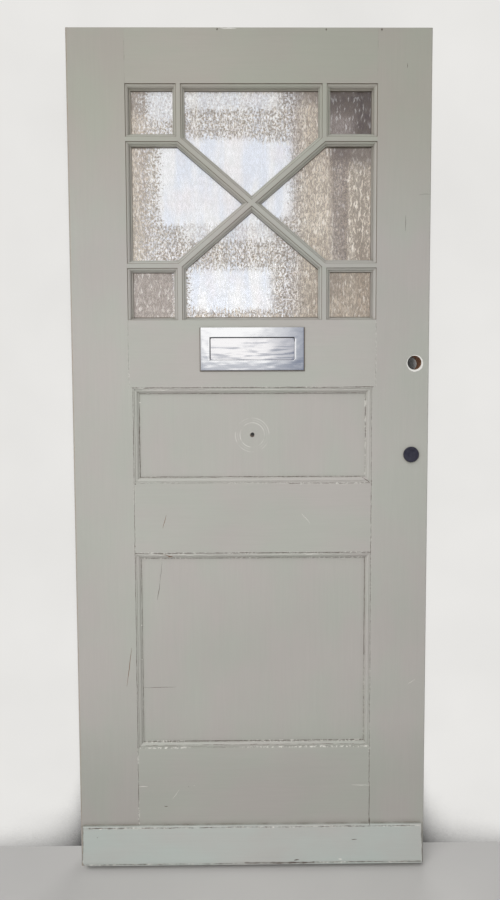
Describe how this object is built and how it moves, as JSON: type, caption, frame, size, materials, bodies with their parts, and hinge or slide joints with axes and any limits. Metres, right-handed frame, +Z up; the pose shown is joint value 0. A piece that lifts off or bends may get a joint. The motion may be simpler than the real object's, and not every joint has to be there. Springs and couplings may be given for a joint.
{
  "type": "panelled front door",
  "caption": "Painted timber front door leaf with a glazed top divided by crossing bars, a sprung letter flap, flat panels, a weatherboard and a mortice lock.",
  "frame": {"origin": "middle of the leaf's bottom edge, halfway through its thickness", "axes": "+Z up the leaf, +X from the hinge stile to the lock stile, -Y out of the weather side"},
  "size_m": [0.838, 0.072, 1.981],
  "materials": {
    "painted_wood": "worn grey-green paint",
    "obscure_glass": "hammered",
    "polished_plate": "polished",
    "black_iron": "satin black",
    "steel": "plain",
    "brass": "dull"
  },
  "bodies": {
    "leaf": {"bottom_left_level_bar": "painted_wood", "bottom_left_pane": "obscure_glass", "bottom_left_pane_beads": "painted_wood", "bottom_left_upright_bar": "painted_wood", "bottom_pane": "obscure_glass", "bottom_pane_beads": "painted_wood", "bottom_rail": "painted_wood", "bottom_right_level_bar": "painted_wood", "bottom_right_pane": "obscure_glass", "bottom_right_pane_beads": "painted_wood", "bottom_right_upright_bar": "painted_wood", "escutcheon_plate": "black_iron", "escutcheon_rivet": "black_iron", "escutcheon_screws": "black_iron", "falling_diagonal_bar": "painted_wood", "flap_pin": "steel", "forend_screws": "steel", "hinge_stile": "painted_wood", "inner_escutcheon": "black_iron", "left_pane": "obscure_glass", "left_pane_beads": "painted_wood", "letter_plate": "polished_plate", "letter_plate_bolts": "steel", "letter_plate_nuts": "steel", "letter_rail": "painted_wood", "lock_case": "steel", "lock_stile": "painted_wood", "lower_panel": "painted_wood", "lower_panel_back_mouldings": "painted_wood", "lower_panel_bottom_moulding": "painted_wood", "lower_panel_left_moulding": "painted_wood", "lower_panel_right_moulding": "painted_wood", "lower_panel_top_moulding": "painted_wood", "middle_rail": "painted_wood", "right_pane": "obscure_glass", "right_pane_beads": "painted_wood", "rising_diagonal_bar": "painted_wood", "tenon_wedges": "painted_wood", "top_left_level_bar": "painted_wood", "top_left_pane": "obscure_glass", "top_left_pane_beads": "painted_wood", "top_left_upright_bar": "painted_wood", "top_pane": "obscure_glass", "top_pane_beads": "painted_wood", "top_rail": "painted_wood", "top_right_level_bar": "painted_wood", "top_right_pane": "obscure_glass", "top_right_pane_beads": "painted_wood", "top_right_upright_bar": "painted_wood", "upper_panel": "painted_wood", "upper_panel_back_mouldings": "painted_wood", "upper_panel_bottom_moulding": "painted_wood", "upper_panel_left_moulding": "painted_wood", "upper_panel_right_moulding": "painted_wood", "upper_panel_top_moulding": "painted_wood", "weatherboard": "painted_wood"},
    "letter_flap": {"letter_flap": "polished_plate", "flap_spring": "steel"},
    "escutcheon_cover": {"escutcheon_cover": "black_iron"},
    "deadbolt": {"deadbolt": "brass"}
  },
  "joints": [
    {"name": "letter_flap_swing", "type": "hinge", "parent": "leaf", "child": "letter_flap", "pos_m": [0.004, -0.0165, 1.2755], "axis": [1, 0, 0], "range_deg": [0, 85], "stiffness_Nm_per_rad": 0.08, "springref_deg": -34.38},
    {"name": "escutcheon_cover_swing", "type": "hinge", "parent": "leaf", "child": "escutcheon_cover", "pos_m": [0.379, -0.0253, 1.018], "axis": [0, 1, 0], "continuous": true},
    {"name": "deadbolt_throw", "type": "slide", "parent": "leaf", "child": "deadbolt", "axis": [1, 0, 0], "range_m": [0, 0.014]}
  ]
}
